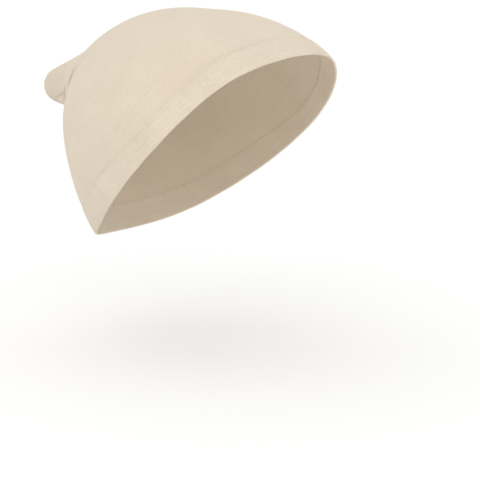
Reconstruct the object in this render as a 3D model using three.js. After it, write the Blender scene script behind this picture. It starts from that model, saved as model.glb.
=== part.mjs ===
// Stocking wig cap in its worn shape: a knitted tube with a doubled hem band, a stretched crown
// and a closed toe that stands out at the back as a soft pouch.
// Millimetres, +Z up. The front is at -Y and the wearer's right at -X.
// The origin is on the inside of the crown, over the middle of the worn form, where the cap is carried.
import * as THREE from 'three';

const { acos, atan2, cos, sin, tan, hypot, exp, abs, sqrt, PI } = Math;
const { lerp } = THREE.MathUtils;
const DEGREE = PI / 180;

// Cloth sizes
const CROWN_WALL = 1.0;
const BAND_WALL = 1.4;
const PIECE_GAP = 0.3;

// The worn form inside the cloth: reach from its centre, by the tilt from straight up in degrees
const FORM = [
  { tilt: 0, front: 78.5, side: 78.5, back: 78.5 },
  { tilt: 33, front: 83.5, side: 82, back: 87.5 },
  { tilt: 66, front: 98, side: 80.5, back: 95.5 },
  { tilt: 99, front: 98.5, side: 72.5, back: 94 },
  { tilt: 132, front: 90, side: 71, back: 101.5 },
];

// The hem by the place round the form (0 = front): the tilt of its edge and the width of the band there,
// which is narrower where the band is stretched most
const HEM = [
  { around: 0, tilt: 51.5, width: 18 },
  { around: 30, tilt: 55.5, width: 17.5 },
  { around: 45, tilt: 62, width: 15.5 },
  { around: 65, tilt: 78, width: 13.3 },
  { around: 90, tilt: 101.5, width: 15.5 },
  { around: 120, tilt: 122, width: 15.5 },
  { around: 150, tilt: 130, width: 15.5 },
  { around: 180, tilt: 130, width: 15.5 },
];

// The toe: a ball-nosed cone that stands out from the back of the form and droops a little
const TOE_TILT = 72.8;
const TOE_DROOP = 7;
const TOE_REACH = 42;
const TOE_NOSE = 10.3;
const TOE_FLARE = 17.2;
const TOE_SLEEVE = 24;

// The tent from the toe to the form, by the place round the toe (0 = top): the angle from the toe's
// direction at which the cloth leaves the form
const TENT = [
  { around: 0, angle: 37 },
  { around: 40, angle: 35 },
  { around: 65, angle: 27 },
  { around: 90, angle: 20 },
  { around: 130, angle: 15 },
  { around: 180, angle: 13 },
];
const TENT_PULL = 0.35;

// Gathers at the neck of the toe: place round the toe (0 = top, plus = wearer's left), depth, spread
const GATHERS = [
  { around: -128, depth: 2.0, spread: 13 },
  { around: -72, depth: 1.2, spread: 15 },
  { around: -28, depth: 0.7, spread: 14 },
  { around: 34, depth: 0.9, spread: 15 },
  { around: 82, depth: 1.4, spread: 15 },
  { around: 132, depth: 1.6, spread: 15 },
  { around: 176, depth: 1.2, spread: 15 },
];
const GATHER_REACH = 13;

// Stations along a wale: 0 at the tip, then the end of the toe, the foot of the tent and the hem
const TOE_END = 1;
const NECK = 1.35;
const TENT_END = 2;
const HEM_END = 3;

// Mesh steps
const WALES = 64;
const TOE_RINGS = 9;
const TENT_RINGS = 7;
const FORM_RINGS = 13;
const HALVINGS = 40;
const SMALL = 1e-3;

// A smooth curve through places and values: a natural cubic spline
function smoothCurve(places, values) {
  const last = places.length - 1;
  const bends = places.map(() => 0);
  const carries = places.map(() => 0);
  for (let i = 1; i < last; i += 1) {
    const before = places[i] - places[i - 1];
    const after = places[i + 1] - places[i];
    const turn = (values[i + 1] - values[i]) / after - (values[i] - values[i - 1]) / before;
    const weight = 2 * (before + after) - before * carries[i - 1];
    carries[i] = after / weight;
    bends[i] = (6 * turn - before * bends[i - 1]) / weight;
  }
  for (let i = last - 1; i > 0; i -= 1) {
    bends[i] -= carries[i] * bends[i + 1];
  }
  return (place) => {
    const found = places.findIndex((next, i) => i > 0 && place <= next);
    const after = found < 0 ? last : found;
    const span = places[after] - places[after - 1];
    const a = (places[after] - place) / span;
    const b = 1 - a;
    const bulge = (a ** 3 - a) * bends[after - 1] + (b ** 3 - b) * bends[after];
    return a * values[after - 1] + b * values[after] + (bulge * span * span) / 6;
  };
}

// Profiles of the form over its top, from the back (minus) to the front (plus), and from side to side
const backRows = FORM.slice(1).reverse();
const profileTilts = [...backRows.map((row) => -row.tilt), ...FORM.map((row) => row.tilt)];
const middleReach = smoothCurve(
  profileTilts,
  [...backRows.map((row) => row.back), ...FORM.map((row) => row.front)],
);
const sideReach = smoothCurve(
  profileTilts,
  [...backRows, ...FORM].map((row) => row.side),
);

// A smooth curve of one column by the place round a ring, alike on the left and on the right
function ringCurve(rows, column) {
  const mirror = rows.slice(1, -1).reverse();
  const places = [
    ...mirror.map((row) => -row.around),
    ...rows.map((row) => row.around),
    ...mirror.map((row) => 360 - row.around),
  ];
  const curve = smoothCurve(places, [...mirror, ...rows, ...mirror].map((row) => row[column]));
  return (around) => curve(abs(atan2(sin(around), cos(around))) / DEGREE);
}
const hemTilt = ringCurve(HEM, 'tilt');
const hemWidth = ringCurve(HEM, 'width');
const tentTurn = ringCurve(TENT, 'angle');

const tiltOf = (direction) => acos(direction.z) / DEGREE;
const aroundOf = (direction) => atan2(direction.x, -direction.y);

// Reach of the form in a direction: an ellipse between its side and its front or back profile
function formReach(direction) {
  const tilt = tiltOf(direction);
  const around = aroundOf(direction);
  const frontShare = (1 + cos(around)) / 2;
  const middle = lerp(middleReach(-tilt), middleReach(tilt), frontShare);
  return 1 / hypot(sin(around) / sideReach(tilt), cos(around) / middle);
}

// Directions of the toe, from the form's centre and along its own drooping axis
const leftward = new THREE.Vector3(1, 0, 0);
const pole = new THREE.Vector3(0, sin(TOE_TILT * DEGREE), cos(TOE_TILT * DEGREE));
const poleUp = new THREE.Vector3(0, -cos(TOE_TILT * DEGREE), sin(TOE_TILT * DEGREE));
const toeAxis = new THREE.Vector3(0, cos(TOE_DROOP * DEGREE), -sin(TOE_DROOP * DEGREE));
const toeUp = new THREE.Vector3(0, sin(TOE_DROOP * DEGREE), cos(TOE_DROOP * DEGREE));
const toeTip = pole.clone().multiplyScalar(formReach(pole)).addScaledVector(toeAxis, TOE_REACH);

// Point of the form at an angle from the toe's direction and a place round it
function formPoint(angle, around) {
  const direction = pole.clone().multiplyScalar(cos(angle))
    .addScaledVector(poleUp, sin(angle) * cos(around))
    .addScaledVector(leftward, sin(angle) * sin(around));
  return direction.multiplyScalar(formReach(direction));
}

// Point of the toe at a depth from its tip: a ball nose that runs into a cone
function toePoint(depth, around) {
  const flare = TOE_FLARE * DEGREE;
  const coneStart = TOE_NOSE * (1 - sin(flare));
  const radius = depth < coneStart
    ? sqrt((2 * TOE_NOSE - depth) * depth)
    : TOE_NOSE * cos(flare) + (depth - coneStart) * tan(flare);
  return toeTip.clone().addScaledVector(toeAxis, -depth)
    .addScaledVector(toeUp, radius * cos(around))
    .addScaledVector(leftward, radius * sin(around));
}

// Angle from the toe at which a wale leaves the form for the tent
const tentAngle = (around) => tentTurn(around) * DEGREE;

// Angle from the toe at which a wale reaches the hem, by halving
function hemAngle(around) {
  let inside = tentAngle(around);
  let outside = PI;
  for (let i = 0; i < HALVINGS; i += 1) {
    const middle = (inside + outside) / 2;
    const direction = formPoint(middle, around).normalize();
    if (tiltOf(direction) < hemTilt(aroundOf(direction))) {
      inside = middle;
    } else {
      outside = middle;
    }
  }
  return inside;
}

// A wale is one line of the knit from the tip of the toe to the hem, and its tent is a Bezier curve
function makeWale(around) {
  const start = tentAngle(around);
  const neck = toePoint(TOE_SLEEVE, around);
  const foot = formPoint(start, around);
  const pull = neck.distanceTo(foot) * TENT_PULL;
  const neckPull = neck.clone().sub(toePoint(TOE_SLEEVE - SMALL, around)).setLength(pull).add(neck);
  const footPull = foot.clone().sub(formPoint(start + SMALL, around)).setLength(pull).add(foot);
  return { start, end: hemAngle(around), tent: new THREE.CubicBezierCurve3(neck, neckPull, footPull, foot) };
}

const knownWales = new Map();
function waleAt(around) {
  if (!knownWales.has(around)) {
    knownWales.set(around, makeWale(around));
  }
  return knownWales.get(around);
}

// Cloth without gathers at a station of a wale: the toe, then the tent, then the form
function smoothPoint(around, station) {
  const wale = waleAt(around);
  if (station <= TOE_END) {
    return toePoint(TOE_SLEEVE * station * station, around);
  }
  if (station <= TENT_END) {
    return wale.tent.getPoint(station - TOE_END);
  }
  return formPoint(lerp(wale.start, wale.end, station - TENT_END), around);
}

// Outward direction of a surface, square to its slopes along and across the wale
function outward(surface, around, station) {
  const here = Math.max(station, 2 * SMALL);
  const along = surface(around, here + SMALL).sub(surface(around, here - SMALL));
  const across = surface(around + SMALL, here).sub(surface(around - SMALL, here));
  return along.cross(across).normalize();
}

// How deep the gathers draw the cloth in: a bell round the toe and a bell along the wale for each
function gatherDepth(around, station) {
  const fromNeck = smoothPoint(around, station).distanceTo(smoothPoint(around, NECK)) / GATHER_REACH;
  const depths = GATHERS.map((row) => {
    const turn = around - row.around * DEGREE;
    const apart = atan2(sin(turn), cos(turn)) / (row.spread * DEGREE);
    return row.depth * exp(-apart * apart);
  });
  return depths.reduce((sum, depth) => sum + depth, 0) * exp(-fromNeck * fromNeck);
}

// Inner face of the cloth
function innerPoint(around, station) {
  const depth = gatherDepth(around, station);
  return smoothPoint(around, station).addScaledVector(outward(smoothPoint, around, station), -depth);
}

// Point of the cloth at a height over its inner face
function clothPoint(around, station, lift) {
  return innerPoint(around, station).addScaledVector(outward(innerPoint, around, station), lift);
}

// Station at a share of the band's width and a further distance from the hem, measured square to it
function stationFromHem(around, share, distance) {
  const place = aroundOf(smoothPoint(around, HEM_END));
  const fromHem = share * hemWidth(place) + distance;
  const along = smoothPoint(around, HEM_END).sub(smoothPoint(around, HEM_END - SMALL));
  const edge = smoothPoint(around + SMALL, HEM_END).sub(smoothPoint(around - SMALL, HEM_END)).normalize();
  const square = along.addScaledVector(edge, -along.dot(edge)).length();
  return HEM_END - (SMALL * fromHem) / square;
}

// Solid of cloth: a section of stations and lifts carried round all wales.
// A ring section closes on itself, and a pouch section starts and ends at the tip.
function clothGeometry(section, isRing) {
  const points = [];
  const rings = section.map(({ stationAt, lift }, i) => {
    const isTip = !isRing && (i === 0 || i === section.length - 1);
    const first = points.length;
    for (let j = 0; j < (isTip ? 1 : WALES); j += 1) {
      const around = (2 * PI * j) / WALES;
      points.push(clothPoint(around, stationAt(around), lift));
    }
    return (j) => first + (isTip ? 0 : j % WALES);
  });
  const triangles = [];
  const strips = isRing ? rings.length : rings.length - 1;
  for (let i = 0; i < strips; i += 1) {
    const here = rings[i];
    const next = rings[(i + 1) % rings.length];
    for (let j = 0; j < WALES; j += 1) {
      const corners = [here(j), here(j + 1), next(j + 1), next(j)];
      const halves = [[corners[0], corners[1], corners[2]], [corners[0], corners[2], corners[3]]];
      triangles.push(...halves.filter((half) => new Set(half).size === 3).flat());
    }
  }
  const geometry = new THREE.BufferGeometry().setFromPoints(points);
  geometry.setIndex(triangles);
  geometry.computeVertexNormals();
  return geometry;
}

// A wall of even thickness: out along its inner face and back along its outer face
function wallSection(stations, wall) {
  const inner = stations.map((stationAt) => ({ stationAt, lift: 0 }));
  const outer = stations.map((stationAt) => ({ stationAt, lift: wall }));
  return [...inner, ...outer.reverse()];
}

function steps(count, stationAtShare) {
  return Array.from({ length: count + 1 }, (_, i) => (around) => stationAtShare(i / count, around));
}

// Toe: a hollow pouch, open at the neck
function toeGeometry() {
  const edge = sqrt(1 - PIECE_GAP / TOE_SLEEVE);
  return clothGeometry(wallSection(steps(TOE_RINGS, (share) => share * edge), CROWN_WALL), false);
}

// Crown: from the neck of the toe over the form to the top of the band
function crownGeometry() {
  const tent = steps(TENT_RINGS, (share) => lerp(TOE_END, TENT_END, share));
  const form = steps(FORM_RINGS, (share, around) => (
    lerp(TENT_END, stationFromHem(around, 1, PIECE_GAP), share)
  ));
  return clothGeometry(wallSection([...tent, ...form.slice(1)], CROWN_WALL), true);
}

// Band: a doubled welt, whose section is round at the folded hem and eased at the top
function bandGeometry() {
  const half = BAND_WALL / 2;
  const ease = BAND_WALL / 4;
  const fold = [-60, -30, 0, 30, 60].map((turn) => ({
    share: 0,
    distance: half * (1 - cos(turn * DEGREE)),
    lift: half * (1 + sin(turn * DEGREE)),
  }));
  const face = [
    { share: 0, distance: half },
    { share: 0.35, distance: 0 },
    { share: 0.65, distance: 0 },
    { share: 1, distance: -ease },
  ];
  const section = [
    { share: 1, distance: 0, lift: ease },
    ...face.toReversed().map((row) => ({ ...row, lift: 0 })),
    ...fold,
    ...face.map((row) => ({ ...row, lift: BAND_WALL })),
    { share: 1, distance: 0, lift: BAND_WALL - ease },
  ];
  const rings = section.map(({ share, distance, lift }) => ({
    stationAt: (around) => stationFromHem(around, share, distance),
    lift,
  }));
  return clothGeometry(rings, true);
}

function clothMesh(name, geometry, color, roughness) {
  const material = new THREE.MeshStandardMaterial({ color, roughness, metalness: 0 });
  const mesh = new THREE.Mesh(geometry, material);
  mesh.name = name;
  return mesh;
}

// The pieces are worked out round the form's centre, which hangs below the origin
const wigCap = new THREE.Group();
const worn = new THREE.Group();
worn.position.z = -middleReach(0);
worn.add(
  clothMesh('hem_band', bandGeometry(), '#e3d6c2', 0.8),
  clothMesh('crown', crownGeometry(), '#e4d7c4', 0.85),
  clothMesh('toe', toeGeometry(), '#dfd0bc', 0.85),
);
wigCap.add(worn);

export default wigCap;
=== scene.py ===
"""Stocking wig cap in its worn shape: a knitted crown, a closed toe, a doubled hem band and its stitches.

Metres, +Z up. The front is at -Y and the wearer's right at -X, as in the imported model.

The cloth is one surface of two parameters: the place round the toe, 0 at the top and plus to the wearer's
left, and the station along a wale of the knit, from the tip of the toe to the hem.
"""

import bpy
import numpy as np
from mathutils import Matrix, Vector


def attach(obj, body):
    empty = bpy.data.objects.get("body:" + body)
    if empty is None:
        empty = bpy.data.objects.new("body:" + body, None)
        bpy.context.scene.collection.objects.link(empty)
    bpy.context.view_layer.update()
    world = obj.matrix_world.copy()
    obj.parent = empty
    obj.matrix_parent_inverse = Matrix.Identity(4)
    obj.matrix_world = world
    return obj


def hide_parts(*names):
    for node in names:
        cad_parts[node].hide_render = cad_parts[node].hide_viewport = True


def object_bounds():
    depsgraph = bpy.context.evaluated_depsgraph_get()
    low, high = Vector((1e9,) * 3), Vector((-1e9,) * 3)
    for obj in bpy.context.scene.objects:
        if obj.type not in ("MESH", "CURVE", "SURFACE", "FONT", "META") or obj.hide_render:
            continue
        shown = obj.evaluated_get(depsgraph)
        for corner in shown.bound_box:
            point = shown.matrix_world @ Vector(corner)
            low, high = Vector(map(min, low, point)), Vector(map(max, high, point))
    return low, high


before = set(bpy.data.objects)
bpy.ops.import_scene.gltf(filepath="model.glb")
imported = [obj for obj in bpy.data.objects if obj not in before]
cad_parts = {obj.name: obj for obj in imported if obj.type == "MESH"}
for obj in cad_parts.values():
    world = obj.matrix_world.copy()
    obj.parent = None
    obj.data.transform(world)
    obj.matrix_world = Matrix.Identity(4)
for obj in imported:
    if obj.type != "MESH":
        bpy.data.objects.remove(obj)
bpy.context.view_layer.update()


def table(columns, *rows):
    """Short table with named columns: each name gives its whole column as an array."""
    return dict(zip(columns.split(), np.array(rows, float).T))


DEGREE = np.pi / 180
FULL_TURN = 2 * np.pi

# The worn form inside the cloth: reach from its centre, by the tilt from straight up in degrees
FORM = table(
    "tilt front side back",
    (0, 0.0785, 0.0785, 0.0785),
    (33, 0.0835, 0.0820, 0.0875),
    (66, 0.0980, 0.0805, 0.0955),
    (99, 0.0985, 0.0725, 0.0940),
    (132, 0.0900, 0.0710, 0.1015),
)

# The hem by the place round the form (0 = front): the tilt of its edge and the width of the band
HEM = table(
    "around tilt width",
    (0, 51.5, 0.0180),
    (30, 55.5, 0.0175),
    (45, 62, 0.0155),
    (65, 78, 0.0133),
    (90, 101.5, 0.0155),
    (120, 122, 0.0155),
    (150, 130, 0.0155),
    (180, 130, 0.0155),
)

# Faint unevenness of the hem: how far it strays, and the waves round the cap that make it
HEM_STRAY = 0.00015
HEM_WAVES = table("count start", (5, 0.4), (11, 2.0), (23, 4.0))

# Walls of the cloth, the puff of the doubled band, and the run over which its top eases down to the crown,
# with the height of the bead on that run
CROWN_WALL = 0.0010
BAND_WALL = 0.0014
BAND_PUFF = 0.00015
BAND_EASE = 0.0036
BAND_BEAD = 0.00012

# The toe: a ball-nosed cone that stands out from the back of the form and droops a little. Its sleeve runs
# from the tip to the start of the tent
TOE_TILT = 72.8 * DEGREE
TOE_DROOP = 7 * DEGREE
TOE_REACH = 0.042
TOE_NOSE = 0.0103
TOE_FLARE = 17.2 * DEGREE
TOE_SLEEVE = 0.024

# The tent from the toe to the form, by the place round the toe: the angle from the toe's direction at which
# the cloth leaves the form, and the share of the span by which each end pulls its curve straight
TENT = table(
    "around angle",
    (0, 37),
    (40, 35),
    (65, 27),
    (90, 20),
    (130, 15),
    (180, 13),
)
TENT_PULL = 0.35

# Stations along a wale: 0 at the tip, then the end of the toe, the neck, the foot of the tent and the hem
TOE_END = 1.0
NECK = 1.35
TENT_END = 2.0
HEM_END = 3.0

# Gathers round the neck of the toe: place, depth and spread, and their reach along a wale
GATHERS = table(
    "around depth spread",
    (-128, 0.0020, 13),
    (-72, 0.0012, 15),
    (-28, 0.0007, 14),
    (34, 0.0009, 15),
    (82, 0.0014, 15),
    (132, 0.0016, 15),
    (176, 0.0012, 15),
)
GATHER_REACH = 0.013

# Creases and ridges (minus depth) of the toe, its tent and the flank below it: the place and station of the
# two ends of each line, its depth and width, and the share of painted shade in it, for the shadow in the
# crease and under the toe. A share below 0 is a painted highlight on a lit ridge
CREASES = table(
    "start_around start_station end_around end_station depth width tone",
    (-45, 1.56, -93, 1.33, 0.0013, 0.0013, 1.9),
    (-56, 1.455, -84, 1.355, 0.0003, 0.0010, 1.7),
    (-86, 1.25, -120, 1.10, 0.0018, 0.0011, 0.9),
    (-124, 0.80, -102, 1.16, 0.0011, 0.0012, 0.6),
    (-115, 1.01, -135, 0.87, -0.0010, 0.0022, -0.4),
    (-132, 0.55, -156, 0.90, 0.0004, 0.0016, 0.6),
    (-48, 2.02, -96, 2.12, 0.0021, 0.0060, 0.0),
    (46, 1.56, 96, 1.36, 0.0014, 0.0026, 0.2),
    (92, 1.25, 128, 1.10, 0.0010, 0.0022, 0.2),
)
CREASE_STEPS = 24

# Pleats where the wales are drawn together at the tip, which sway round it, and the dimple in their middle
PLEAT_COUNT = 14
PLEAT_SWAY = 1.5
PLEAT_SWAY_COUNT = 3
PLEAT_REACH = 0.0045
PLEAT_DEPTH = 0.0003
DIMPLE_REACH = 0.00225
DIMPLE_DEPTH = 0.0003

# Knit: wales round the cap, and courses from the tip to each station
WALE_COUNT = 400
TENT_COURSES = 66
COURSES = table("station count", (0, 0), (TOE_END, 34), (TENT_END, TENT_COURSES), (HEM_END, 250))

# Linking stitches along the top of the band. At random each is shifted by at most a share of the pitch, and
# it has a share of the half length and of the rise between the two that are given
STITCH_PITCH = 0.0022
STITCH_HALF_LENGTH = 0.0010
STITCH_SLANT = 0.0006
STITCH_RADIUS = 0.00025
STITCH_RISE = 0.00026
STITCH_SHIFT = 0.2
STITCH_LENGTHS = (0.65, 1.4)
STITCH_RISES = (0.6, 1.4)
STITCH_SEED = 7

# Painted shade along the seam at the top of the band, uneven round the cap: its share of the dark tone, its
# reach to either side, and the waves round the cap that break it up
SEAM_PAINTED_SHADE = 0.08
SEAM_REACH = 0.0027
SEAM_WAVES = table("count start", (29, 0.3), (47, 1.9), (71, 4.1))

# Mesh steps
COLUMNS = 384
TOE_ROWS = 40
TENT_ROWS = 84
FORM_ROWS = 42
BAND_ROWS = 14
EASE_ROWS = 7
FOLD_STEPS = 9
STITCH_STEPS = 7
STITCH_SIDES = 6
HALVINGS = 40

# Steps over which slopes are measured, in stations or radians and in metres, and the least vector length
SLOPE_STEP = 1e-3
SLOPE_LENGTH = 1e-6
LEAST_LENGTH = 1e-12

# Knit loops: lean of their legs in courses, swell, and the waver of their rows in stitches with its scale
# and detail. On the toe some wales are drawn into one, up to a course from which they part over the tent
LOOP_LEAN = 0.5
LOOP_SWELL = 0.25
LOOP_WAVER = 0.3
WAVER_SCALE = 0.35
WAVER_DETAIL = 2.0
DRAWN_WALES = 4
DRAWN_COURSES = 40

# Unevenness of the cloth's tone: clouds by the metre, bars along the courses and speckles by the stitch
CLOUD_SCALE = 45.0
CLOUD_DETAIL = 4.0
BAR_STRETCH = (0.02, 0.6, 1.0)
BAR_SCALE = 1.0
BAR_DETAIL = 2.0
SPECKLE_SCALE = 0.45
SPECKLE_DETAIL = 1.0

# Share of painted shade on the toe, which is darker than the crown, and the most that a share may be. Each
# share past the first dims the dark colour further, as painted shade in a crease
TOE_PAINTED_SHADE = 0.28
DEEPEST_DARK = 3.0
CREASE_SHADE_DIM = 0.28

# Roughness of the cloth at its light colour, and how much each share of the dark tone adds to it
CLOTH_ROUGHNESS = 0.8
DARK_ROUGHNESS = 0.12

# Tones: the cloth's light colour and the dark colour that its unevenness and painted shade mix towards,
# the share of the dark one in the gaps between loops or plies, painted shade in those hollows, and the
# strength of clouds and speckles
CROWN_TONE = {
    "Light": (0.762, 0.663, 0.528, 1),
    "Dark": (0.608, 0.507, 0.386, 1),
    "Gap Shade": 0.45,
    "Clouds": 0.5,
    "Speckle": 0.5,
}
BAND_TONE = {
    "Light": (0.82, 0.719, 0.579, 1),
    "Dark": (0.613, 0.511, 0.386, 1),
    "Gap Shade": 0.55,
    "Clouds": 0.6,
    "Speckle": 0.6,
}
THREAD_TONE = {
    "Light": (0.885, 0.795, 0.656, 1),
    "Dark": (0.70, 0.598, 0.467, 1),
    "Gap Shade": 0.4,
    "Clouds": 1.2,
    "Speckle": 0.3,
}

# Gloss of the knit and of the thread
KNIT_GLOSS = {
    "Specular IOR Level": 0.25,
    "Sheen Weight": 0.30,
    "Sheen Roughness": 0.5,
    "Sheen Tint": (1.0, 0.95, 0.88, 1),
}
THREAD_GLOSS = {"Sheen Weight": 0.12}

# Bump: depth of the loops and of the thread's plies, and its strength. The thread's twist is in turns a
# course, and its stitches lie some wales apart in the pattern, so that each has a shade of its own
CROWN_LOOP_DEPTH = 0.0004
BAND_LOOP_DEPTH = 0.0006
PLY_DEPTH = 0.0001
BUMP_STRENGTH = 0.5
THREAD_TWIST = 3.0
THREAD_STEP = 17

# Camera, as the photograph was taken
CAMERA_YAW = 49 * DEGREE
CAMERA_RISE = 9 * DEGREE
CAMERA_DISTANCE = 1.300
CAMERA_TARGET = (0.0130, -0.0149, -0.1389)
CAMERA_LENS = 161.4
SENSOR_WIDTH = 36.0

# Studio: a pale floor below the cap with faint clouds in it, a white surround, and the key light, a wide sun
FLOOR_DROP = 0.06
FLOOR_SIZE = 40.0
FLOOR_TONES = ((0.93, 0.93, 0.925, 1), (0.95, 0.95, 0.95, 1))
FLOOR_ROUGHNESS = 0.9
FLOOR_SCALE = 1.0
FLOOR_DETAIL = 2.0
SURROUND_COLOUR = (1, 1, 1, 1)
SURROUND_STRENGTH = 1.0
KEY_YAW = 58 * DEGREE
KEY_RISE = 34 * DEGREE
KEY_STRENGTH = 0.55
KEY_SPREAD = 60 * DEGREE


# Curves and directions


def smooth_curve(places, values):
    """Natural cubic spline through places and values, as a function of a whole array of places."""
    steps = np.diff(places)
    inner = np.arange(1, len(places) - 1)
    system = np.eye(len(places))
    system[inner, inner - 1] = steps[:-1]
    system[inner, inner] = 2 * (steps[:-1] + steps[1:])
    system[inner, inner + 1] = steps[1:]
    turns = np.zeros(len(places))
    turns[1:-1] = 6 * np.diff(np.diff(values) / steps)
    bends = np.linalg.solve(system, turns)

    def curve(place):
        after = np.clip(np.searchsorted(places, place), 1, len(places) - 1)
        span = places[after] - places[after - 1]
        left = (places[after] - place) / span
        right = 1 - left
        bulge = (left**3 - left) * bends[after - 1] + (right**3 - right) * bends[after]
        return left * values[after - 1] + right * values[after] + bulge * span**2 / 6

    return curve


def over_the_top(back, front):
    """Values from the back over the top to the front, from two columns that both start at the top."""
    return np.concatenate([back[:0:-1], front])


def ring_curve(rows, column):
    """Smooth curve of a column by the place round a ring in radians, alike on the left and on the right."""
    back = rows[column][-2:0:-1]
    back_places = rows["around"][-2:0:-1]
    places = np.concatenate([-back_places, rows["around"], 360 - back_places])
    curve = smooth_curve(places, np.concatenate([back, rows[column], back]))
    return lambda around: curve(np.abs(np.arctan2(np.sin(around), np.cos(around))) / DEGREE)


profile_tilts = over_the_top(-FORM["tilt"], FORM["tilt"])
middle_reach = smooth_curve(profile_tilts, over_the_top(FORM["back"], FORM["front"]))
side_reach = smooth_curve(profile_tilts, over_the_top(FORM["side"], FORM["side"]))
hem_tilt = ring_curve(HEM, "tilt")
hem_width = ring_curve(HEM, "width")
tent_degrees = ring_curve(TENT, "angle")


def soft_step(share):
    """Smooth step from 0 to 1 with level ends: three times the square less twice the cube."""
    return share**2 * (3 - 2 * share)


def weighted(*terms):
    """Sum of weights times directions or points, for weights of any shape."""
    return sum(np.asarray(weight)[..., None] * direction for weight, direction in terms)


def unit(vectors):
    """Vectors at length 1."""
    return vectors / np.maximum(np.linalg.norm(vectors, axis=-1, keepdims=True), LEAST_LENGTH)


def tilt_of(direction):
    """Tilt from straight up in degrees."""
    return np.arccos(np.clip(direction[..., 2], -1, 1)) / DEGREE


def around_of(direction):
    """Place round the form, 0 at the front."""
    return np.arctan2(direction[..., 0], -direction[..., 1])


# Smooth cloth


def form_reach(direction):
    """Reach of the form in a direction: an ellipse between its side and its front or back profile."""
    tilt = tilt_of(direction)
    around = around_of(direction)
    front_share = (1 + np.cos(around)) / 2
    middle = (1 - front_share) * middle_reach(-tilt) + front_share * middle_reach(tilt)
    return 1 / np.hypot(np.sin(around) / side_reach(tilt), np.cos(around) / middle)


LEFTWARD = np.array([1.0, 0.0, 0.0])
POLE = np.array([0.0, np.sin(TOE_TILT), np.cos(TOE_TILT)])
POLE_UP = np.array([0.0, -np.cos(TOE_TILT), np.sin(TOE_TILT)])
TOE_AXIS = np.array([0.0, np.cos(TOE_DROOP), -np.sin(TOE_DROOP)])
TOE_UP = np.array([0.0, np.sin(TOE_DROOP), np.cos(TOE_DROOP)])
FORM_CENTRE = np.array([0.0, 0.0, -FORM["front"][0]])
TOE_TIP = FORM_CENTRE + POLE * form_reach(POLE) + TOE_AXIS * TOE_REACH


def form_direction(angle, around):
    """Direction from the form's centre at an angle from the toe's direction and a place round it."""
    return weighted(
        (np.cos(angle), POLE),
        (np.sin(angle) * np.cos(around), POLE_UP),
        (np.sin(angle) * np.sin(around), LEFTWARD),
    )


def form_point(angle, around):
    """Point of the worn form: its centre plus its reach in that direction."""
    direction = form_direction(angle, around)
    return FORM_CENTRE + direction * form_reach(direction)[..., None]


def toe_point(depth, around):
    """Point of the toe at a depth from its tip: a ball nose that runs into a cone."""
    cone_start = TOE_NOSE * (1 - np.sin(TOE_FLARE))
    ball = np.sqrt(np.clip((2 * TOE_NOSE - depth) * depth, 0, None))
    cone = TOE_NOSE * np.cos(TOE_FLARE) + (depth - cone_start) * np.tan(TOE_FLARE)
    radius = np.where(depth < cone_start, ball, cone)
    return TOE_TIP + weighted(
        (-depth, TOE_AXIS),
        (radius * np.cos(around), TOE_UP),
        (radius * np.sin(around), LEFTWARD),
    )


def tent_angle(around):
    """Angle from the toe's direction at which a wale leaves the form for the tent."""
    return tent_degrees(around) * DEGREE


def hem_angle(around):
    """Angle from the toe's direction at which a wale reaches the hem, by halving."""
    inside = tent_angle(around)
    outside = np.full_like(inside, np.pi)
    for _ in range(HALVINGS):
        middle = (inside + outside) / 2
        direction = form_direction(middle, around)
        is_inside = tilt_of(direction) < hem_tilt(around_of(direction))
        inside = np.where(is_inside, middle, inside)
        outside = np.where(is_inside, outside, middle)
    return inside


def tent_point(share, around):
    """Point of the tent: a Bezier curve that leaves the toe's cone and lands on the form without a kink."""
    start = tent_angle(around)
    sleeve = np.full_like(around, TOE_SLEEVE)
    neck = toe_point(sleeve, around)
    foot = form_point(start, around)
    pull = TENT_PULL * np.linalg.norm(foot - neck, axis=-1, keepdims=True)
    neck_pull = neck + pull * unit(neck - toe_point(sleeve - SLOPE_LENGTH, around))
    foot_pull = foot + pull * unit(foot - form_point(start + SLOPE_STEP, around))
    left = 1 - share
    return weighted(
        (left**3, neck),
        (3 * left**2 * share, neck_pull),
        (3 * left * share**2, foot_pull),
        (share**3, foot),
    )


def smooth_cloth(around, station):
    """Cloth without folds at stations of the wales: the toe, then the tent, then the form."""
    start = tent_angle(around)
    end = hem_angle(around)
    toe = toe_point(TOE_SLEEVE * np.clip(station, 0, TOE_END) ** 2, around)
    tent = tent_point(np.clip(station - TOE_END, 0, 1), around)
    form = form_point(start + (end - start) * np.clip(station - TENT_END, 0, None), around)
    on_toe = (station <= TOE_END)[..., None]
    on_tent = (station <= TENT_END)[..., None]
    return np.where(on_toe, toe, np.where(on_tent, tent, form))


def outward(around, station):
    """Outward direction of the smooth cloth, square to its slopes along and across the wales."""
    here = np.maximum(station, 2 * SLOPE_STEP)
    along = smooth_cloth(around, here + SLOPE_STEP) - smooth_cloth(around, here - SLOPE_STEP)
    across = smooth_cloth(around + SLOPE_STEP, here) - smooth_cloth(around - SLOPE_STEP, here)
    return unit(np.cross(along, across))


def station_from_hem(around, share, distance):
    """Station at a share of the band's width and a further distance from the hem, measured square to it."""
    hem = np.full_like(around, HEM_END)
    edge_point = smooth_cloth(around, hem)
    width = hem_width(around_of(edge_point - FORM_CENTRE))
    along = edge_point - smooth_cloth(around, hem - SLOPE_STEP)
    edge = unit(smooth_cloth(around + SLOPE_STEP, hem) - smooth_cloth(around - SLOPE_STEP, hem))
    square = np.linalg.norm(along - edge * (along * edge).sum(axis=-1, keepdims=True), axis=-1)
    return HEM_END - SLOPE_STEP * (share * width + distance) / square


# Folds


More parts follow.
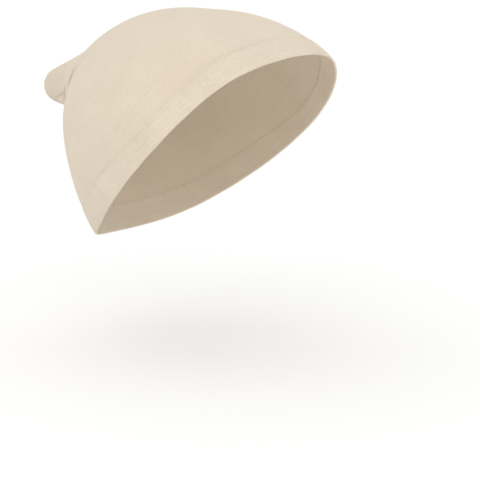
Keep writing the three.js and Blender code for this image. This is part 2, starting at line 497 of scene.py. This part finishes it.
def gather_depth(around, points):
    """How deep the gathers draw the cloth in: a bell round the toe and a bell along the wale for each."""
    neck = smooth_cloth(around, np.full_like(around, NECK))
    from_neck = np.linalg.norm(points - neck, axis=-1) / GATHER_REACH
    turn = around[..., None] - GATHERS["around"] * DEGREE
    apart = np.arctan2(np.sin(turn), np.cos(turn)) / (GATHERS["spread"] * DEGREE)
    return (GATHERS["depth"] * np.exp(-(apart**2))).sum(axis=-1) * np.exp(-(from_neck**2))


def pucker_depth(around, points):
    """How deep the tip is drawn in: pleats that swell and fade away from the tip, and a dimple at it."""
    from_tip = np.linalg.norm(points - TOE_TIP, axis=-1)
    swell = from_tip / PLEAT_REACH * np.exp(1 - from_tip / PLEAT_REACH)
    pleats = (1 + np.cos(PLEAT_COUNT * around + PLEAT_SWAY * np.sin(PLEAT_SWAY_COUNT * around))) / 2
    dimple = np.exp(-((from_tip / DIMPLE_REACH) ** 2))
    return PLEAT_DEPTH * pleats * swell + DIMPLE_DEPTH * dimple


def crease_bells(points):
    """How near points are to each crease, from 0 to 1: a bell across its line, which fades to its ends.

    The line lies on the smooth cloth and runs evenly from one end's place and station to the other's.
    """
    share = np.linspace(0, 1, CREASE_STEPS)
    fade = np.sin(np.pi * share)
    turn = np.outer(CREASES["end_around"] - CREASES["start_around"], share)
    climb = np.outer(CREASES["end_station"] - CREASES["start_station"], share)
    around = (CREASES["start_around"][:, None] + turn) * DEGREE
    lines = smooth_cloth(around, CREASES["start_station"][:, None] + climb)
    bells = []
    for line, width in zip(lines, CREASES["width"]):
        apart = np.linalg.norm(points[..., None, :] - line, axis=-1) / width
        bells.append((fade * np.exp(-(apart**2))).max(axis=-1))
    return np.stack(bells, axis=-1)


# Mesh making


def wrapped(grid):
    """A grid round the cap with its first column repeated at the end."""
    return np.concatenate([grid, grid[:, :1]], axis=1)


def grid_normals(points):
    """Outward directions of a grid that closes on itself, from its neighbours along and across the wales."""
    along = np.gradient(points, axis=0)
    across = np.roll(points, -1, axis=1) - np.roll(points, 1, axis=1)
    return unit(np.cross(along, across))


def quad_corners(grid):
    """Four corners of each cell of a grid, in the order that faces along times across."""
    corners = [grid[:-1, :-1], grid[1:, :-1], grid[1:, 1:], grid[:-1, 1:]]
    return np.stack(corners, axis=2).reshape(-1, 4, *grid.shape[2:])


def fan_corners(tip, ring):
    """Three corners of each triangle from one tip to the cells of a ring that ends where it starts."""
    tips = np.broadcast_to(tip, ring[1:].shape)
    return np.stack([tips, ring[:-1], ring[1:]], axis=1)


def flat_normals(points, faces):
    """Direction of each face from two of its edges, repeated for its corners."""
    corners = points[faces]
    facing = unit(np.cross(corners[:, 1] - corners[:, 0], corners[:, -1] - corners[:, 0]))
    return np.repeat(facing[:, None], faces.shape[1], axis=1)


def make_piece(name, points, patches, material, dark=None):
    """Mesh object from points and patches: each has faces, their corners' stitch places and directions.

    Cloth also has the share of painted shade at each point: on the toe, in creases and along the seam.
    """
    faces, places, normals = zip(*patches)
    corner_places = np.concatenate([patch.reshape(-1, 2) for patch in places])
    corner_normals = np.concatenate([patch.reshape(-1, 3) for patch in normals])
    mesh = bpy.data.meshes.new(name)
    mesh.from_pydata(points.tolist(), [], sum((patch.tolist() for patch in faces), []))
    layer = mesh.uv_layers.new(name="stitches")
    layer.data.foreach_set("uv", corner_places.astype(np.float32).ravel())
    mesh.polygons.foreach_set("use_smooth", np.ones(len(mesh.polygons), bool))
    mesh.normals_split_custom_set(corner_normals.tolist())
    # Share of painted shade at each point
    if dark is not None:
        shares = mesh.attributes.new("painted_shade_share", "FLOAT", "POINT")
        shares.data.foreach_set("value", dark.astype(np.float32))
    mesh.materials.append(material)
    piece = bpy.data.objects.new(name, mesh)
    bpy.context.scene.collection.objects.link(piece)
    return piece


# Materials


def feed(tree, node, inputs):
    """Inputs of a node by name or number: plain values are set, and other nodes' sockets are linked."""
    for key, value in inputs.items():
        if isinstance(value, bpy.types.NodeSocket):
            tree.links.new(value, node.inputs[key])
        else:
            node.inputs[key].default_value = value


def add_node(tree, kind, inputs=None, **settings):
    """A node of a kind with some of its own settings and inputs."""
    node = tree.nodes.new(kind)
    for key, value in settings.items():
        setattr(node, key, value)
    feed(tree, node, inputs or {})
    return node


def maths(tree, operation, *values):
    """Result of a Math node on numbers or sockets."""
    return add_node(tree, "ShaderNodeMath", dict(enumerate(values)), operation=operation).outputs[0]


def mix(tree, kind, factor, low, high):
    """Result of a Mix node between two values, from the low one at 0 to the high one at 1."""
    inputs = {"Factor": factor, "A": low, "B": high}
    return add_node(tree, "ShaderNodeMix", inputs, data_type=kind).outputs["Result"]


def noise(tree, places, scale, detail):
    """Value of a Noise texture, which varies about a half."""
    inputs = {"Vector": places, "Scale": scale, "Detail": detail}
    return add_node(tree, "ShaderNodeTexNoise", inputs).outputs["Fac"]


def swing(tree, value, strength):
    """A value about a half turned into one about 0, times a strength."""
    return maths(tree, "MULTIPLY", maths(tree, "SUBTRACT", value, 0.5), strength)


def new_group(name, inputs, outputs):
    """An empty shader group with named inputs and outputs, and its two end nodes."""
    group = bpy.data.node_groups.new(name, "ShaderNodeTree")
    for in_out, sockets in (("INPUT", inputs), ("OUTPUT", outputs)):
        for socket_name, kind in sockets.items():
            group.interface.new_socket(name=socket_name, in_out=in_out, socket_type="NodeSocket" + kind)
    return group, add_node(group, "NodeGroupInput"), add_node(group, "NodeGroupOutput")


def loop_height(tree, wales, courses):
    """Height of plain knit: two legs in each wale, which lean together and swell once in each course."""
    from_middle = maths(tree, "SUBTRACT", maths(tree, "FRACT", wales), 0.5)
    across = maths(tree, "MULTIPLY", maths(tree, "ABSOLUTE", from_middle), 2.0)
    leg = maths(tree, "SINE", maths(tree, "MULTIPLY", across, np.pi))
    lean = maths(tree, "MULTIPLY_ADD", across, LOOP_LEAN, courses)
    wave = maths(tree, "COSINE", maths(tree, "MULTIPLY", lean, FULL_TURN))
    return maths(tree, "MULTIPLY", leg, maths(tree, "MULTIPLY_ADD", wave, LOOP_SWELL, 1 - LOOP_SWELL))


def knit_group():
    """Knit loops: fine on the stretched cloth, and some wales drawn into one where the toe is gathered."""
    group, given, result = new_group(
        "knit_loops",
        {"Stitches": "Vector", "Waver": "Float"},
        {"Height": "Float"},
    )
    stitches = given.outputs["Stitches"]
    drift = swing(group, noise(group, stitches, WAVER_SCALE, WAVER_DETAIL), given.outputs["Waver"])
    counts = add_node(group, "ShaderNodeSeparateXYZ", {0: stitches}).outputs
    wales = maths(group, "ADD", counts["X"], drift)
    courses = maths(group, "ADD", counts["Y"], drift)
    fine = loop_height(group, wales, courses)
    drawn = loop_height(group, maths(group, "DIVIDE", wales, DRAWN_WALES), courses)
    span = {"Value": counts["Y"], "From Min": DRAWN_COURSES, "From Max": TENT_COURSES}
    parted = add_node(group, "ShaderNodeMapRange", span, interpolation_type="SMOOTHSTEP").outputs["Result"]
    feed(group, result, {"Height": mix(group, "FLOAT", parted, drawn, fine)})
    return group


def tone_group():
    """Colour of the cloth: broad clouds, bars along courses, speckles, and painted shade between the loops.

    Their sum with the given share of painted shade is the share of the dark colour. Past a whole share, in a
    crease, the dark colour is dimmed further, as painted shade. The darker the cloth, the rougher it is.
    """
    group, given, result = new_group(
        "cloth_tone",
        {
            "Stitches": "Vector",
            "Height": "Float",
            "Painted Shade Share": "Float",
            "Light": "Color",
            "Dark": "Color",
            "Gap Shade": "Float",
            "Clouds": "Float",
            "Speckle": "Float",
        },
        {"Colour": "Color", "Roughness": "Float"},
    )
    stitches = given.outputs["Stitches"]
    place = add_node(group, "ShaderNodeTexCoord").outputs["Object"]
    stretch = {"Vector": stitches, "Scale": BAR_STRETCH}
    stretched = add_node(group, "ShaderNodeMapping", stretch).outputs["Vector"]
    clouds = swing(group, noise(group, place, CLOUD_SCALE, CLOUD_DETAIL), given.outputs["Clouds"])
    bars = swing(group, noise(group, stretched, BAR_SCALE, BAR_DETAIL), given.outputs["Clouds"])
    speckles = swing(group, noise(group, stitches, SPECKLE_SCALE, SPECKLE_DETAIL), given.outputs["Speckle"])
    # Painted shade in the gaps between loops or plies
    below = maths(group, "SUBTRACT", 1.0, given.outputs["Height"])
    gaps = maths(group, "MULTIPLY", below, given.outputs["Gap Shade"])
    total = given.outputs["Painted Shade Share"]
    for share in (clouds, bars, speckles, gaps):
        total = maths(group, "ADD", total, share)
    shade = add_node(group, "ShaderNodeClamp", {"Value": total, "Max": DEEPEST_DARK}).outputs["Result"]
    colour = mix(group, "RGBA", shade, given.outputs["Light"], given.outputs["Dark"])
    # Past a whole share the dark colour is dimmed further: painted shade deep in a crease
    past_dark = maths(group, "MAXIMUM", maths(group, "SUBTRACT", shade, 1.0), 0.0)
    dimming = maths(group, "MULTIPLY_ADD", past_dark, -CREASE_SHADE_DIM, 1.0)
    dimmed = add_node(group, "ShaderNodeVectorMath", {"Vector": colour, "Scale": dimming}, operation="SCALE")
    roughness = maths(group, "MULTIPLY_ADD", shade, DARK_ROUGHNESS, CLOTH_ROUGHNESS)
    feed(group, result, {"Colour": dimmed.outputs["Vector"], "Roughness": roughness})
    return group


def new_material(name):
    """A new material, its node tree and its Principled shader."""
    material = bpy.data.materials.new(name)
    material.use_nodes = True
    tree = material.node_tree
    return material, tree, tree.nodes["Principled BSDF"]


def cloth_inputs(tree, tone, sources, values, depth):
    """Shader inputs of a knit or thread: colour and roughness from the tone group, and its height as bump."""
    toned = add_node(tree, "ShaderNodeGroup", sources | values, node_tree=tone).outputs
    relief = {"Strength": BUMP_STRENGTH, "Distance": depth, "Height": sources["Height"]}
    bump = add_node(tree, "ShaderNodeBump", relief).outputs
    return {"Base Color": toned["Colour"], "Roughness": toned["Roughness"], "Normal": bump["Normal"]}


def knit_finish(name, knit, tone, values, depth):
    """Matte nylon knit: loops as bump, a soft sheen, colour in clouds, and painted shade between the loops.
    """
    material, tree, shader = new_material(name)
    stitches = add_node(tree, "ShaderNodeUVMap", uv_map="stitches").outputs["UV"]
    loops = add_node(tree, "ShaderNodeGroup", {"Stitches": stitches, "Waver": LOOP_WAVER}, node_tree=knit)
    # The piece's painted shade: on the toe, in creases and along the seam
    painted_shade_share = add_node(tree, "ShaderNodeAttribute", attribute_name="painted_shade_share").outputs["Fac"]
    sources = {"Stitches": stitches, "Height": loops.outputs["Height"], "Painted Shade Share": painted_shade_share}
    feed(tree, shader, KNIT_GLOSS | cloth_inputs(tree, tone, sources, values, depth))
    return material


def thread_finish(name, tone):
    """Nylon thread: two plies that twist along the thread, and a shade of its own for each stitch."""
    material, tree, shader = new_material(name)
    stitches = add_node(tree, "ShaderNodeUVMap", uv_map="stitches").outputs["UV"]
    counts = add_node(tree, "ShaderNodeSeparateXYZ", {0: stitches}).outputs
    turn = maths(tree, "MULTIPLY_ADD", counts["Y"], THREAD_TWIST, counts["X"])
    plies = maths(tree, "ABSOLUTE", maths(tree, "SINE", maths(tree, "MULTIPLY", turn, FULL_TURN)))
    sources = {"Stitches": stitches, "Height": plies}
    feed(tree, shader, THREAD_GLOSS | cloth_inputs(tree, tone, sources, THREAD_TONE, PLY_DEPTH))
    return material


def floor_finish():
    """Pale matte floor with a faint unevenness."""
    material, tree, shader = new_material("pale_floor")
    place = add_node(tree, "ShaderNodeTexCoord").outputs["Object"]
    tone = mix(tree, "RGBA", noise(tree, place, FLOOR_SCALE, FLOOR_DETAIL), *FLOOR_TONES)
    feed(tree, shader, {"Base Color": tone, "Roughness": FLOOR_ROUGHNESS})
    return material


# Pieces

around_columns = np.arange(COLUMNS) * FULL_TURN / COLUMNS


def course_of(stations):
    """Courses of the knit from the tip to each station."""
    return np.interp(stations, COURSES["station"], COURSES["count"])


def stitch_grid(stations):
    """Stitch place of each point of a wrapped grid: wales counted round the cap, courses from the tip."""
    courses = wrapped(course_of(stations))
    wales = np.arange(COLUMNS + 1) * (WALE_COUNT / COLUMNS)
    return np.stack([np.broadcast_to(wales, courses.shape), courses], axis=-1)


def waves_round(waves):
    """Mean of some sine waves round the cap, from -1 to 1, at each column."""
    return np.sin(np.outer(waves["count"], around_columns) + waves["start"][:, None]).mean(axis=0)


def painted_seam_shade(points):
    """Share of painted shade near the last row, which is the top of the band: a bell of uneven height."""
    apart = np.linalg.norm(points - points[-1], axis=-1) / SEAM_REACH
    return SEAM_PAINTED_SHADE * (1 + waves_round(SEAM_WAVES)) * np.exp(-(apart**2))


def cloth_rows():
    """Inner face of the whole cloth from the tip to the top of the band, and more at the same places.

    The arrays are the points, their outward directions, their stations, and the share of painted shade: a
    fixed one on the toe that fades over the tent, and more in the creases and along the band.
    """
    toe = np.linspace(0, TOE_END, TOE_ROWS + 1)
    tent = np.linspace(TOE_END, TENT_END, TENT_ROWS + 1)[1:]
    band_top = station_from_hem(around_columns, 1, 0)
    form = TENT_END + np.linspace(0, 1, FORM_ROWS + 1)[1:, None] * (band_top - TENT_END)
    upper = np.concatenate([toe, tent])[:, None]
    stations = np.concatenate([np.broadcast_to(upper, (len(upper), COLUMNS)), form])
    smooth = smooth_cloth(around_columns, stations)
    bells = crease_bells(smooth)
    folds = gather_depth(around_columns, smooth) + pucker_depth(around_columns, smooth)
    depth = folds + bells @ CREASES["depth"]
    inner = smooth - outward(around_columns, stations) * depth[..., None]
    normals = grid_normals(inner)
    normals[0] = TOE_AXIS
    # Painted shade: the toe darker, fading over the tent, and shade in the creases and along the seam
    to_foot = np.clip((TENT_END - stations) / (TENT_END - TOE_END), 0, 1)
    dark = TOE_PAINTED_SHADE * soft_step(to_foot) + bells @ CREASES["tone"] + painted_seam_shade(smooth)
    return inner, normals, stations, dark


def knit_wall(name, inner, normals, stations, dark, material, has_tip):
    """Closed wall of cloth: the outer face, the inner face turned round, and a strip along each open edge.

    With a tip, the first row is one point, and a fan of triangles closes each face there.
    """
    outer = inner + CROWN_WALL * normals
    places = stitch_grid(stations)
    first = 1 if has_tip else 0
    size = stations[first:].size
    ids = wrapped(np.arange(size).reshape(-1, COLUMNS))
    inner_ids = ids + size
    points = np.concatenate([outer[first:].reshape(-1, 3), inner[first:].reshape(-1, 3)])
    shares = np.tile(dark[first:].ravel(), 2)
    face_places = quad_corners(places[first:])
    face_normals = quad_corners(wrapped(normals[first:]))
    foot = quad_corners(np.stack([ids[-1], inner_ids[-1]]))
    foot_places = quad_corners(np.stack([places[-1], places[-1]]))
    patches = [
        (quad_corners(ids), face_places, face_normals),
        (quad_corners(inner_ids)[:, ::-1], face_places[:, ::-1], -face_normals[:, ::-1]),
        (foot, foot_places, flat_normals(points, foot)),
    ]
    if has_tip:
        points = np.concatenate([points, outer[0, :1], inner[0, :1]])
        shares = np.append(shares, dark[0, :2])
        fan = fan_corners(2 * size, ids[0])
        inner_fan = fan_corners(2 * size + 1, inner_ids[0])
        fan_places = fan_corners(places[0, 0], places[1])
        fan_normals = fan_corners(normals[0, 0], wrapped(normals)[1])
        patches.append((fan, fan_places, fan_normals))
        patches.append((inner_fan[:, ::-1], fan_places[:, ::-1], -fan_normals[:, ::-1]))
    else:
        head = quad_corners(np.stack([inner_ids[0], ids[0]]))
        head_places = quad_corners(np.stack([places[0], places[0]]))
        patches.append((head, head_places, flat_normals(points, head)))
    return make_piece(name, points, patches, material, shares)


def band_welt(name, material):
    """The band: one section carried round the cap, from the inner face round the folded hem to the eased top.

    Each row of the section has a share of the band's width, a further distance from the hem and a lift from
    the worn form. Along the top the outer face runs down to the crown over BAND_EASE, with a low bead.
    """
    half = BAND_WALL / 2
    share = np.linspace(0, 1, BAND_ROWS + 1)
    turn = np.linspace(-90, 90, FOLD_STEPS + 2)[1:-1] * DEGREE
    ease = np.linspace(1, 0, EASE_ROWS + 1)[1:]
    puffed = BAND_WALL + BAND_PUFF * np.sin(np.pi * share)
    bead = BAND_BEAD * np.sin(np.pi * ease) ** 2
    eased = CROWN_WALL + (BAND_WALL - CROWN_WALL) * soft_step(ease) + bead
    inner_face = np.array([share, half * (1 - share), 0 * share])[:, ::-1]
    fold = np.array([0 * turn, half * (1 - np.cos(turn)), half * (1 + np.sin(turn))])
    outer_face = np.array([share, half * (1 - share) - BAND_EASE * share, puffed])
    eased_top = np.array([0 * ease + 1, -BAND_EASE * ease, eased])
    rows = np.concatenate([inner_face, fold, outer_face, eased_top], axis=1)
    shares, distances, lifts = rows[..., None]
    strayed = distances + (1 - shares) * HEM_STRAY * waves_round(HEM_WAVES)
    stations = station_from_hem(around_columns, shares, strayed)
    section = smooth_cloth(around_columns, stations) + lifts[..., None] * outward(around_columns, stations)
    points = section.reshape(-1, 3)
    ids = wrapped(np.arange(stations.size).reshape(-1, COLUMNS))
    places = stitch_grid(stations)
    top = quad_corners(np.stack([ids[-1], ids[0]]))
    top_places = quad_corners(np.stack([places[-1], places[0]]))
    patches = [
        (quad_corners(ids), quad_corners(places), quad_corners(wrapped(grid_normals(section)))),
        (top, top_places, flat_normals(points, top)),
    ]
    # Painted shade along the seam at the top of the band
    return make_piece(name, points, patches, material, painted_seam_shade(section).ravel())


def stitch_spots():
    """Place of each stitch round the toe, the band's length a radian there, and shares of length and rise.

    The stitches lie a pitch apart along the top of the band, each shifted a little.
    """
    top = wrapped(smooth_cloth(around_columns, station_from_hem(around_columns, 1, 0))[None])[0]
    gaps = np.linalg.norm(np.diff(top, axis=0), axis=-1)
    length = np.concatenate([[0], np.cumsum(gaps)])
    count = int(round(length[-1] / STITCH_PITCH))
    draw = np.random.default_rng(STITCH_SEED)
    shift = draw.uniform(-STITCH_SHIFT, STITCH_SHIFT, count)
    size = draw.uniform(*STITCH_LENGTHS, count)
    bow = draw.uniform(*STITCH_RISES, count)
    place = (np.arange(count) + 0.5 + shift) * length[-1] / count
    around = np.interp(place, length, np.arange(COLUMNS + 1) * FULL_TURN / COLUMNS)
    radian_length = np.interp(around, around_columns, gaps * COLUMNS / FULL_TURN, period=FULL_TURN)
    return around, radian_length, size, bow


def each_stitch(corners):
    """Corners of all the stitches in one run, from an array of cells, corners and stitches."""
    moved = np.moveaxis(corners, 2, 0)
    return moved.reshape(-1, *moved.shape[2:])


def stitch_row(name, material):
    """Linking stitches: each a short thread that bows over the top of the band, outside and again inside.

    Along the thread a number runs from -1 to 1. The thread lies that share of its half length up the cloth
    and of its slant along the band's top. It rises over the cloth by 1 less the square of the number, and its
    ends are points. Arrays run along the thread, round the thread, and over the stitches.
    """
    around, radian_length, size, bow = stitch_spots()
    along = np.linspace(-1, 1, STITCH_STEPS)[:, None]
    turned = around + along * STITCH_SLANT / radian_length
    stations = station_from_hem(turned, 1, along * STITCH_HALF_LENGTH * size)
    cloth = smooth_cloth(turned, stations)
    facing = outward(turned, stations)
    rise = STITCH_RISE * bow * (1 - along**2) - STITCH_RADIUS * along**2
    outside = cloth + (CROWN_WALL + rise)[..., None] * facing
    inside = cloth - rise[..., None] * facing
    path = np.concatenate([outside, inside], axis=1)
    tangent = unit(np.gradient(path, axis=0))
    aside = unit(np.cross(np.concatenate([facing, -facing], axis=1), tangent))
    upward = np.cross(tangent, aside)
    angle = np.arange(STITCH_SIDES) * FULL_TURN / STITCH_SIDES
    turns = weighted((np.cos(angle)[:, None], upward[:, None]), (np.sin(angle)[:, None], aside[:, None]))
    radius = STITCH_RADIUS * np.sqrt(1 - along**2)
    rings = (path[:, None] + radius[:, None, :, None] * turns)[1:-1]
    points = np.concatenate([rings.reshape(-1, 3), path[0], path[-1]])
    threads = path.shape[1]
    ids = wrapped(np.arange(rings[..., 0].size).reshape(rings.shape[:-1]))
    tips = rings[..., 0].size + np.arange(2 * threads).reshape(2, -1)
    ply = np.arange(STITCH_SIDES + 1)[:, None] / STITCH_SIDES + THREAD_STEP * np.arange(threads)
    course = np.tile(course_of(stations), 2)[:, None]
    places = np.stack(np.broadcast_arrays(ply, course), axis=-1)
    normals = wrapped(turns)
    tube = (quad_corners(ids), quad_corners(places[1:-1]), quad_corners(normals[1:-1]))
    start = (
        fan_corners(tips[0], ids[0]),
        fan_corners(places[0, 0], places[1]),
        fan_corners(-tangent[0], normals[1]),
    )
    end = (
        fan_corners(tips[1], ids[-1])[:, ::-1],
        fan_corners(places[-1, 0], places[-2])[:, ::-1],
        fan_corners(tangent[-1], normals[-2])[:, ::-1],
    )
    patches = [[each_stitch(corners) for corners in patch] for patch in (tube, start, end)]
    return make_piece(name, points, patches, material)


def dress():
    """All pieces of the cap, each on the root body; the imported parts that they stand for are hidden."""
    knit = knit_group()
    tone = tone_group()
    crown_finish = knit_finish("crown_knit_finish", knit, tone, CROWN_TONE, CROWN_LOOP_DEPTH)
    band_finish = knit_finish("band_knit_finish", knit, tone, BAND_TONE, BAND_LOOP_DEPTH)
    thread = thread_finish("stitch_thread", tone)
    cloth = cloth_rows()
    crown_rows = [rows[TOE_ROWS:] for rows in cloth]
    toe_rows = [rows[: TOE_ROWS + 1] for rows in cloth]
    crown = knit_wall("crown_knit", *crown_rows, crown_finish, has_tip=False)
    toe = knit_wall("toe_knit", *toe_rows, crown_finish, has_tip=True)
    band = band_welt("band_knit", band_finish)
    stitches = stitch_row("welt_stitches", thread)
    slots = {crown: "crown_knit", toe: "crown_knit", band: "band_knit", stitches: "band_knit"}
    for piece, slot in slots.items():
        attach(piece, "root")
    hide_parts("crown")
    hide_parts("toe")
    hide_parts("hem_band")


# Camera and studio


def bearing(yaw, rise):
    """Direction at a yaw from the front to the wearer's right and a rise from level."""
    level = np.cos(rise)
    return np.array([-np.sin(yaw) * level, -np.cos(yaw) * level, np.sin(rise)])


def set_up(name, data, place, target):
    """Camera or light at a place, turned to a target."""
    thing = bpy.data.objects.new(name, data)
    thing.location = place
    thing.rotation_euler = (Vector(target) - Vector(place)).to_track_quat("-Z", "Y").to_euler()
    bpy.context.scene.collection.objects.link(thing)
    return thing


def photograph_camera():
    """Camera at a yaw, a rise and a distance from the worn form's centre, turned to its target."""
    data = bpy.data.cameras.new("camera")
    data.lens = CAMERA_LENS
    data.sensor_width = SENSOR_WIDTH
    place = FORM_CENTRE + CAMERA_DISTANCE * bearing(CAMERA_YAW, CAMERA_RISE)
    bpy.context.scene.camera = set_up("camera", data, place, CAMERA_TARGET)


def studio():
    """Pale floor below the cap, a white surround, and one wide soft sun, with plain colours."""
    half = FLOOR_SIZE / 2
    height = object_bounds()[0].z - FLOOR_DROP
    corners = [(x * half, y * half, height) for x, y in ((-1, -1), (1, -1), (1, 1), (-1, 1))]
    mesh = bpy.data.meshes.new("floor")
    mesh.from_pydata(corners, [], [(0, 1, 2, 3)])
    mesh.materials.append(floor_finish())
    floor = bpy.data.objects.new("floor", mesh)
    bpy.context.scene.collection.objects.link(floor)
    world = bpy.data.worlds.new("white_surround")
    world.use_nodes = True
    background = world.node_tree.nodes["Background"]
    feed(world.node_tree, background, {"Color": SURROUND_COLOUR, "Strength": SURROUND_STRENGTH})
    bpy.context.scene.world = world
    sun = bpy.data.lights.new("key", "SUN")
    sun.energy = KEY_STRENGTH
    sun.angle = KEY_SPREAD
    set_up("key", sun, bearing(KEY_YAW, KEY_RISE), (0, 0, 0))
    bpy.context.scene.view_settings.view_transform = "Standard"


photograph_camera()
dress()
studio()
